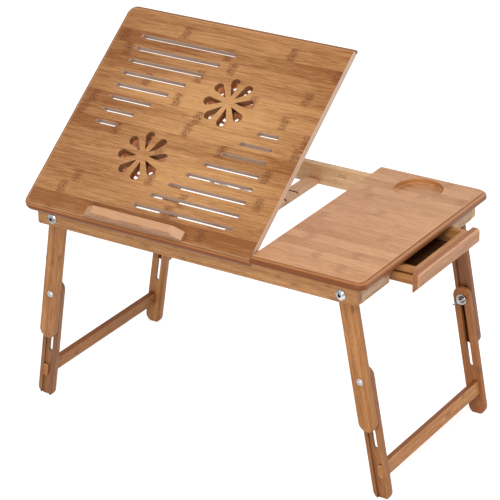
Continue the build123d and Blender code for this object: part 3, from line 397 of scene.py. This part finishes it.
def moulded(name, tint, rough):
    """Moulded plastic with a fine grain, cloudy colour and paler edges that are wear and painted highlight."""
    made = Finish(name)
    at = made.place()
    grain = made.noise(at, PLASTIC_GRAIN, PLASTIC_GRAIN_DETAIL)
    darker = tuple(PLASTIC_DARKER * value for value in tint[:3]) + (1.0,)
    paler = tuple(min(1.0, PLASTIC_GAIN * value + PLASTIC_LIFT) for value in tint[:3]) + (1.0,)
    face = made.mix(made.math("MULTIPLY", made.marks(at, CLOUDS), PLASTIC_CLOUD), tint, darker)
    # Paler edges: partly wear, partly a painted highlight
    face = made.mix(made.math("MULTIPLY", made.edge_wear_and_highlight(PLASTIC_EDGE), PLASTIC_RUB_AND_HIGHLIGHT), face, paler)
    made.join(face, made.shader.inputs["Base Color"])
    made.join(made.math("ADD", made.math("MULTIPLY", grain, PLASTIC_SPREAD), rough), made.shader.inputs["Roughness"])
    made.bump(grain, PLASTIC_RELIEF, RELIEF_DEPTH)
    return made.material


# Wood of the panel, laid flat about its hinge, and of the fixed top
lay_flat = Matrix.Rotation(-TILT, 3, "X")
on_panel = {"turn": (-TILT, 0.0, 0.0), "shift": tuple(-(lay_flat @ HINGE))}
flower_places = [tuple(lay_flat @ (centre - HINGE)) for centre in FAN_CENTRES]
panel_front = -HALF_DEPTH - HINGE.y
PANEL_RIM = ((-HALF_WIDTH, panel_front), (PANEL_RIGHT + BEYOND_SPLIT, panel_front + 2.0 * HALF_DEPTH),
             panel_front + BACK_START)
PANEL_PALE = ((-0.05, 0.177, 0.01), 0.02, 0.22, 0.56)
TOP_SHIFT = (0.03, 0.004, 0.0)
TOP_RIM = ((PANEL_RIGHT - BEYOND_SPLIT + TOP_SHIFT[0], -HALF_DEPTH + TOP_SHIFT[1]),
           (HALF_WIDTH + TOP_SHIFT[0], HALF_DEPTH + TOP_SHIFT[1]), HALF_DEPTH + BACK_START)
# The panel's pale cut-wall colour is partly the cut face's own paler colour, partly painted light
panel_wood = bamboo("panel_bamboo", honey, honey_deep, rust, **on_panel, strip=0.0205, spacing=0.17, grain=0.5,
                    ageing=0.3, cut=(PANEL_NORMAL, colour(236, 208, 186)), flowers=flower_places, rim=PANEL_RIM,
                    pale_middle=PANEL_PALE)
top_wood = bamboo("fixed_top_bamboo", rose, rose_deep, rose_rust, shift=TOP_SHIFT, strip=0.021, spacing=0.17,
                  knot_depth=0.45, grain=0.72, gloss=0.36, cut=(UP, colour(184, 126, 70)), rim=TOP_RIM)
ledge_wood = bamboo("ledge_bamboo", colour(206, 158, 120), colour(152, 104, 70), rust, **on_panel,
                    knot_depth=0.25, strip_tone=0.3, grain=0.8, upper=(PANEL_NORMAL, colour(204, 154, 114)))

# Wood of the frame
RAIL_STRIP = 0.014
rail_wood = bamboo("rail_bamboo", colour(214, 160, 106), colour(164, 109, 61), straw_rust, strip=RAIL_STRIP,
                   knot_depth=0.6)
# Paler than the other rails: painted light, making up for the panel's shade on the back rail
back_rail_lit_wood = bamboo("back_rail_lit_bamboo", colour(250, 212, 166), colour(214, 166, 116), straw_rust,
                        strip=RAIL_STRIP, knot_depth=0.5)
cross_rail_wood = bamboo("cross_rail_bamboo", straw, straw_deep, straw_rust, ALONG_Y, strip=RAIL_STRIP,
                         knot_depth=0.5)
# Paler than the rails: painted light on the blocks' right-facing ends
end_block_lit_wood = bamboo("end_block_lit_bamboo", colour(240, 202, 162), colour(196, 150, 108), straw_rust, ALONG_Y,
                    strip=RAIL_STRIP, knot_depth=0.6, grain=0.7)
# Paler than the rails: painted light where the panel shades the notch rail
notch_rail_lit_wood = bamboo("notch_rail_lit_bamboo", colour(248, 204, 162), colour(216, 164, 120), straw_rust, ALONG_Y,
                         strip=RAIL_STRIP, knot_depth=0.5)

# Wood of the legs and their crossbars
LEG_CUT = {"strip": 0.0125, "knot_depth": 0.7, "strip_tone": 0.4}
BAR_CUT = {"strip": 0.011, "knot_depth": 0.6, "strip_tone": 0.4, "sheen": 0.12}
left_leg_wood = bamboo("left_leg_bamboo", colour(198, 141, 88), colour(148, 93, 49), straw_rust, LEFT_LEG,
                       **LEG_CUT)
left_foot_wood = bamboo("left_lower_leg_bamboo", colour(168, 116, 76), colour(116, 70, 40), straw_rust, LEFT_LEG,
                        **LEG_CUT)
right_leg_wood = bamboo("right_leg_bamboo", colour(200, 141, 86), colour(154, 97, 49), straw_rust, RIGHT_LEG,
                        **LEG_CUT)
right_foot_wood = bamboo("right_lower_leg_bamboo", colour(181, 122, 74), colour(128, 77, 41), straw_rust,
                         RIGHT_LEG, **LEG_CUT)
# Darker than the other upper legs: painted shade, for the leg in the shade of the top and behind the drawer
back_leg_shaded_wood = bamboo("right_back_leg_shaded_bamboo", colour(152, 100, 64), colour(106, 62, 34), straw_rust, RIGHT_LEG,
                       **LEG_CUT)
back_foot_wood = bamboo("right_back_lower_leg_bamboo", colour(174, 111, 62), colour(128, 75, 37), straw_rust,
                        RIGHT_LEG, **LEG_CUT)
left_bar_wood = bamboo("left_crossbar_bamboo", colour(204, 146, 96), colour(154, 98, 54), straw_rust, ALONG_Y,
                       **BAR_CUT, upper=(UP, colour(128, 68, 30)))
right_bar_wood = bamboo("right_crossbar_bamboo", colour(222, 162, 108), colour(176, 114, 66), straw_rust, ALONG_Y,
                        **BAR_CUT, cut=(RIGHTWARD, colour(166, 110, 68)), upper=(UP, colour(130, 70, 30)))

# Wood of the drawer
box_pale, box_deep = colour(208, 151, 93), colour(160, 105, 57)
plate_wood = bamboo("drawer_plate_bamboo", colour(222, 168, 128), colour(186, 128, 88), straw_rust, ALONG_Y,
                    strip=RAIL_STRIP, knot_depth=0.4, strip_tone=0.4, grain=0.6,
                    cut=(RIGHTWARD, colour(140, 76, 40)))
box_wood = bamboo("drawer_box_bamboo", box_pale, box_deep, straw_rust, ALONG_Y, strip=RAIL_STRIP)
side_wood = bamboo("drawer_side_bamboo", box_pale, box_deep, straw_rust, strip=RAIL_STRIP)
# Dark as painted shade inside the drawer; the underside keeps the straw colour
drawer_bottom_shaded_wood = bamboo("drawer_bottom_shaded_bamboo", colour(98, 56, 32), colour(62, 34, 19), colour(36, 20, 11),
                    strip_tone=0.4, grain=0.9, underside=straw)

# Metal and plastic
# The chrome's strong near-black patches are painted reflections
chrome = polished("bolt_chrome", (0.62, 0.62, 0.63, 1.0), (0.06, 0.06, 0.065, 1.0), 0.10, smudge_and_reflection_share=0.75)
satin = polished("carriage_bolt_steel", (0.46, 0.46, 0.47, 1.0), (0.30, 0.30, 0.31, 1.0), 0.27)
steel = polished("hinge_steel", (0.50, 0.50, 0.51, 1.0), (0.30, 0.30, 0.30, 1.0), 0.26,
                 brushed=(90.0, 900.0, 900.0), spread=0.16)
shell_steel = polished("plug_steel", (0.62, 0.62, 0.64, 1.0), (0.4, 0.4, 0.41, 1.0), 0.18,
                       brushed=(900.0, 120.0, 900.0), spread=0.1)
brass = polished("brad_brass", (0.56, 0.43, 0.22, 1.0), (0.33, 0.24, 0.12, 1.0), 0.3)
copper_plastic = moulded("fan_housing_plastic", colour(238, 158, 106), 0.34)
blade_plastic = moulded("fan_blade_plastic", colour(240, 164, 112), 0.36)
motor_plastic = moulded("fan_motor_plastic", colour(70, 66, 64), 0.5)
plug_plastic = moulded("plug_body_plastic", colour(38, 38, 40), 0.45)

dressed = {
    panel_wood: ["tilt_panel"],
    top_wood: ["fixed_top"],
    ledge_wood: ["ledge_bar", "ledge_dowels"],
    rail_wood: ["front_rail", "drawer_runner_front", "drawer_runner_back"],
    back_rail_lit_wood: ["back_rail"],
    cross_rail_wood: ["left_rail"],
    end_block_lit_wood: ["right_front_block", "right_back_block"],
    notch_rail_lit_wood: ["notch_rail"],
    left_leg_wood: ["left_front_upper_leg", "left_back_upper_leg", "left_back_lower_leg"],
    left_foot_wood: ["left_front_lower_leg"],
    right_leg_wood: ["right_front_upper_leg"],
    right_foot_wood: ["right_front_lower_leg"],
    back_leg_shaded_wood: ["right_back_upper_leg"],
    back_foot_wood: ["right_back_lower_leg"],
    left_bar_wood: ["left_crossbar"],
    right_bar_wood: ["right_crossbar"],
    plate_wood: ["drawer_front_plate"],
    box_wood: ["drawer_front_wall", "drawer_back_wall"],
    side_wood: ["drawer_front_side", "drawer_back_side"],
    drawer_bottom_shaded_wood: ["drawer_bottom"],
    satin: ["left_carriage_bolts", "right_carriage_bolts", "left_washers", "right_washers"],
    chrome: ["pivot_bolts", "pivot_nuts", "left_front_wing_nut", "left_back_wing_nut", "right_front_wing_nut",
             "right_back_wing_nut", "fan_housing_screws"],
    steel: ["rail_hinge_leaves", "panel_hinge_leaves", "rail_hinge_screws", "panel_hinge_screws", "hinge_pins",
            "prop_brackets", "prop_bracket_screws", "prop_bail", "drawer_screws"],
    shell_steel: ["usb_plug_shell"],
    copper_plastic: ["fan_housing"],
    blade_plastic: ["front_fan_impeller", "back_fan_impeller"],
    motor_plastic: ["fan_motors"],
    plug_plastic: ["usb_plug_body"],
}
for finish, names in dressed.items():
    for name in names:
        nodes[name].data.materials.clear()
        nodes[name].data.materials.append(finish)


def piece(name, bm):
    """A new object in the scene from a finished bmesh."""
    mesh = bpy.data.meshes.new(name)
    bm.to_mesh(mesh)
    bm.free()
    made = bpy.data.objects.new(name, mesh)
    bpy.context.scene.collection.objects.link(made)
    return made


# Fan housing with its ring grilles, in place of the plain housing of the model
PLATE_NEAR, PLATE_FAR = -0.0072, -0.0104
SLOT_HALF = 0.0021
SLOT_STEPS, SLOT_END_SIDES = 16, 16
RINGS = ((0.0336, 37.0), (0.0261, 34.0), (0.0184, 28.0))
SLOTS_IN_RING = 4
WELD = 0.00001
SMOOTH_BELOW = math.radians(32.0)
fan_along = (FAN_CENTRES[1] - FAN_CENTRES[0]).normalized()
fan_across = Vector(PANEL_NORMAL).cross(fan_along)
fan_seat = Matrix((fan_along, fan_across, Vector(PANEL_NORMAL))).transposed().to_4x4()


def ring_slot(bm, fan_centre, radius, half_angle, quarter):
    """One curved slot with round ends, cut right through the housing's face."""
    before = set(bm.verts)
    sweep = math.radians(half_angle)
    inner, outer = radius - SLOT_HALF, radius + SLOT_HALF
    corners = ((inner, PLATE_FAR), (outer, PLATE_FAR), (outer, PLATE_NEAR), (inner, PLATE_NEAR))
    face = bm.faces.new([bm.verts.new((across, 0.0, height)) for across, height in corners])
    bmesh.ops.rotate(bm, verts=face.verts, cent=ORIGIN, matrix=Matrix.Rotation(-sweep, 3, "Z"))
    bmesh.ops.spin(bm, geom=[face, *face.edges, *face.verts], cent=ORIGIN, axis=UP, angle=2.0 * sweep,
                   steps=SLOT_STEPS, use_merge=False, use_duplicate=False)
    for end in (-sweep, sweep):
        middle = (radius * math.cos(end), radius * math.sin(end), 0.5 * (PLATE_NEAR + PLATE_FAR))
        bmesh.ops.create_cone(bm, cap_ends=True, segments=SLOT_END_SIDES, radius1=SLOT_HALF, radius2=SLOT_HALF,
                              depth=PLATE_NEAR - PLATE_FAR, matrix=Matrix.Translation(middle))
    made = [vert for vert in bm.verts if vert not in before]
    bmesh.ops.rotate(bm, verts=made, cent=ORIGIN, matrix=Matrix.Rotation(QUARTER_TURN * quarter, 3, "Z"))
    bmesh.ops.transform(bm, verts=made, matrix=Matrix.Translation(fan_centre) @ fan_seat)


bm = bmesh.new()
for fan_centre in FAN_CENTRES:
    for radius, half_angle in RINGS:
        for quarter in range(SLOTS_IN_RING):
            ring_slot(bm, fan_centre, radius, half_angle, quarter)
bmesh.ops.recalc_face_normals(bm, faces=bm.faces)
slot_cutter = piece("slot_cutter", bm)
bm = bmesh.new()
bm.from_mesh(nodes["fan_housing"].data)
bmesh.ops.remove_doubles(bm, verts=bm.verts, dist=WELD)
bmesh.ops.recalc_face_normals(bm, faces=bm.faces)
fan_grille = piece("fan_grille_housing", bm)
cut = fan_grille.modifiers.new("ring_slots", "BOOLEAN")
cut.operation = "DIFFERENCE"
cut.solver = "EXACT"
cut.use_self = True
cut.object = slot_cutter
bpy.context.view_layer.update()
opened = bpy.data.meshes.new_from_object(fan_grille.evaluated_get(bpy.context.evaluated_depsgraph_get()))
fan_grille.modifiers.clear()
fan_grille.data = opened
bpy.data.objects.remove(slot_cutter)
opened.polygons.foreach_set("use_smooth", [True] * len(opened.polygons))
opened.set_sharp_from_angle(angle=SMOOTH_BELOW)
opened.materials.clear()
opened.materials.append(copper_plastic)
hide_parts("fan_housing")
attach(fan_grille, "tilting_panel")

# Two brads that pin the front end of the right crossbar
BRADS = ((0.2704, 0.0469), (0.2727, 0.0331))
BRAD_RADIUS, BRAD_FRONT_RADIUS, BRAD_HEIGHT, BRAD_SIDES = 0.0011, 0.0010, 0.0008, 20
BRAD_ROUND, BRAD_ROUND_STEPS, BRAD_RIM_ANGLE = 0.00025, 2, 0.9
TENON_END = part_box("right_crossbar")[0][1]
bm = bmesh.new()
for brad_x, brad_z in BRADS:
    lie = Matrix.Translation((brad_x, TENON_END, brad_z)) @ Matrix.Rotation(QUARTER_TURN, 4, "X")
    head = bmesh.ops.create_cone(bm, cap_ends=True, segments=BRAD_SIDES, radius1=BRAD_RADIUS,
                                 radius2=BRAD_FRONT_RADIUS, depth=BRAD_HEIGHT, matrix=lie)
    edges = {edge for vert in head["verts"] for edge in vert.link_edges}
    rim = [edge for edge in edges if edge.calc_face_angle(0.0) > BRAD_RIM_ANGLE]
    bmesh.ops.bevel(bm, geom=rim, offset=BRAD_ROUND, offset_type="OFFSET", segments=BRAD_ROUND_STEPS, profile=0.5,
                    affect="EDGES", material=-1)
bmesh.ops.recalc_face_normals(bm, faces=bm.faces)
brads = piece("right_crossbar_brads", bm)
brads.data.materials.append(brass)
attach(brads, "right_lower_legs")

# Studio: white floor that keeps a soft shadow, white world, large soft lamps
FLOOR_HALF, FLOOR_GAP = 12.0, 0.0003
FLOOR_GREY, FLOOR_GLOW = (0.62, 0.62, 0.62, 1.0), 0.74
WORLD_FILL, WORLD_SEEN = 0.42, 1.0
WHITE = (1.0, 1.0, 1.0, 1.0)
LAMP_AIM = (0.0, 0.0, 0.25)
LAMPS = (
    ("key_lamp", (1.2, -1.1, 2.3), 1.1, 30.0),
    ("front_lamp", (0.5, -2.6, 0.9), 1.2, 22.0),
    ("left_lamp", (-1.9, -0.8, 1.5), 1.2, 6.0),
    ("back_lamp", (1.0, 2.2, 1.2), 1.4, 12.0),
)


def pale_rays(tree):
    """1 for camera, glossy and transmission rays."""
    path = tree.nodes.new("ShaderNodeLightPath")
    total = path.outputs["Is Camera Ray"]
    for name in ("Is Glossy Ray", "Is Transmission Ray"):
        step = tree.nodes.new("ShaderNodeMath")
        step.operation = "MAXIMUM"
        tree.links.new(total, step.inputs[0])
        tree.links.new(path.outputs[name], step.inputs[1])
        total = step.outputs[0]
    return total


bm = bmesh.new()
bmesh.ops.create_grid(bm, x_segments=1, y_segments=1, size=FLOOR_HALF)
bmesh.ops.translate(bm, verts=bm.verts, vec=(0.0, 0.0, -FLOOR_GAP))
studio_floor = piece("studio_floor", bm)
floor_finish = bpy.data.materials.new("studio_floor")
floor_finish.use_nodes = True
tree = floor_finish.node_tree
tree.nodes.clear()
out = tree.nodes.new("ShaderNodeOutputMaterial")
matt = tree.nodes.new("ShaderNodeBsdfDiffuse")
matt.inputs["Color"].default_value = FLOOR_GREY
glow = tree.nodes.new("ShaderNodeEmission")
glow.inputs["Color"].default_value = WHITE
level = tree.nodes.new("ShaderNodeMath")
level.operation = "MULTIPLY"
level.inputs[1].default_value = FLOOR_GLOW
tree.links.new(pale_rays(tree), level.inputs[0])
tree.links.new(level.outputs[0], glow.inputs["Strength"])
both = tree.nodes.new("ShaderNodeAddShader")
tree.links.new(matt.outputs[0], both.inputs[0])
tree.links.new(glow.outputs[0], both.inputs[1])
clear = tree.nodes.new("ShaderNodeBsdfTransparent")
side = tree.nodes.new("ShaderNodeNewGeometry")
pick = tree.nodes.new("ShaderNodeMixShader")
tree.links.new(side.outputs["Backfacing"], pick.inputs[0])
tree.links.new(both.outputs[0], pick.inputs[1])
tree.links.new(clear.outputs[0], pick.inputs[2])
tree.links.new(pick.outputs[0], out.inputs["Surface"])
studio_floor.data.materials.append(floor_finish)

world = bpy.data.worlds.new("studio_world")
bpy.context.scene.world = world
world.use_nodes = True
tree = world.node_tree
sky = tree.nodes["Background"]
sky.inputs["Color"].default_value = WHITE
strength = tree.nodes.new("ShaderNodeMapRange")
strength.inputs["To Min"].default_value = WORLD_FILL
strength.inputs["To Max"].default_value = WORLD_SEEN
tree.links.new(pale_rays(tree), strength.inputs["Value"])
tree.links.new(strength.outputs["Result"], sky.inputs["Strength"])

for name, place, size, power in LAMPS:
    lamp = bpy.data.lights.new(name, "AREA")
    lamp.shape = "DISK"
    lamp.size = size
    lamp.energy = power
    lamp_held = bpy.data.objects.new(name, lamp)
    bpy.context.scene.collection.objects.link(lamp_held)
    lamp_held.location = place
    lamp_held.rotation_mode = "QUATERNION"
    lamp_held.rotation_quaternion = (Vector(LAMP_AIM) - Vector(place)).to_track_quat("-Z", "Y")

# Camera at the photograph's angle
YAW, PITCH, ROLL = math.radians(33.547), math.radians(25.228), math.radians(-1.378)
CAMERA_PLACE = (1.5340, -2.3302, 1.5593)
LENS, SENSOR_WIDTH, SHIFT_UP, FAR_CLIP = 164.136, 36.0, -0.0123, 100.0
forward = Vector((-math.sin(YAW) * math.cos(PITCH), math.cos(YAW) * math.cos(PITCH), -math.sin(PITCH)))
level_right = Vector((math.cos(YAW), math.sin(YAW), 0.0))
level_up = level_right.cross(forward)
camera_right = math.cos(ROLL) * level_right + math.sin(ROLL) * level_up
camera_up = -math.sin(ROLL) * level_right + math.cos(ROLL) * level_up
camera = bpy.data.cameras.new("photo_camera")
camera.sensor_width = SENSOR_WIDTH
camera.lens = LENS
camera.shift_y = SHIFT_UP
camera.clip_end = FAR_CLIP
camera_held = bpy.data.objects.new("photo_camera", camera)
bpy.context.scene.collection.objects.link(camera_held)
camera_axes = Matrix((camera_right, camera_up, -forward)).transposed()
camera_held.matrix_world = Matrix.Translation(CAMERA_PLACE) @ camera_axes.to_4x4()
bpy.context.scene.camera = camera_held
bpy.context.scene.view_settings.view_transform = "Standard"
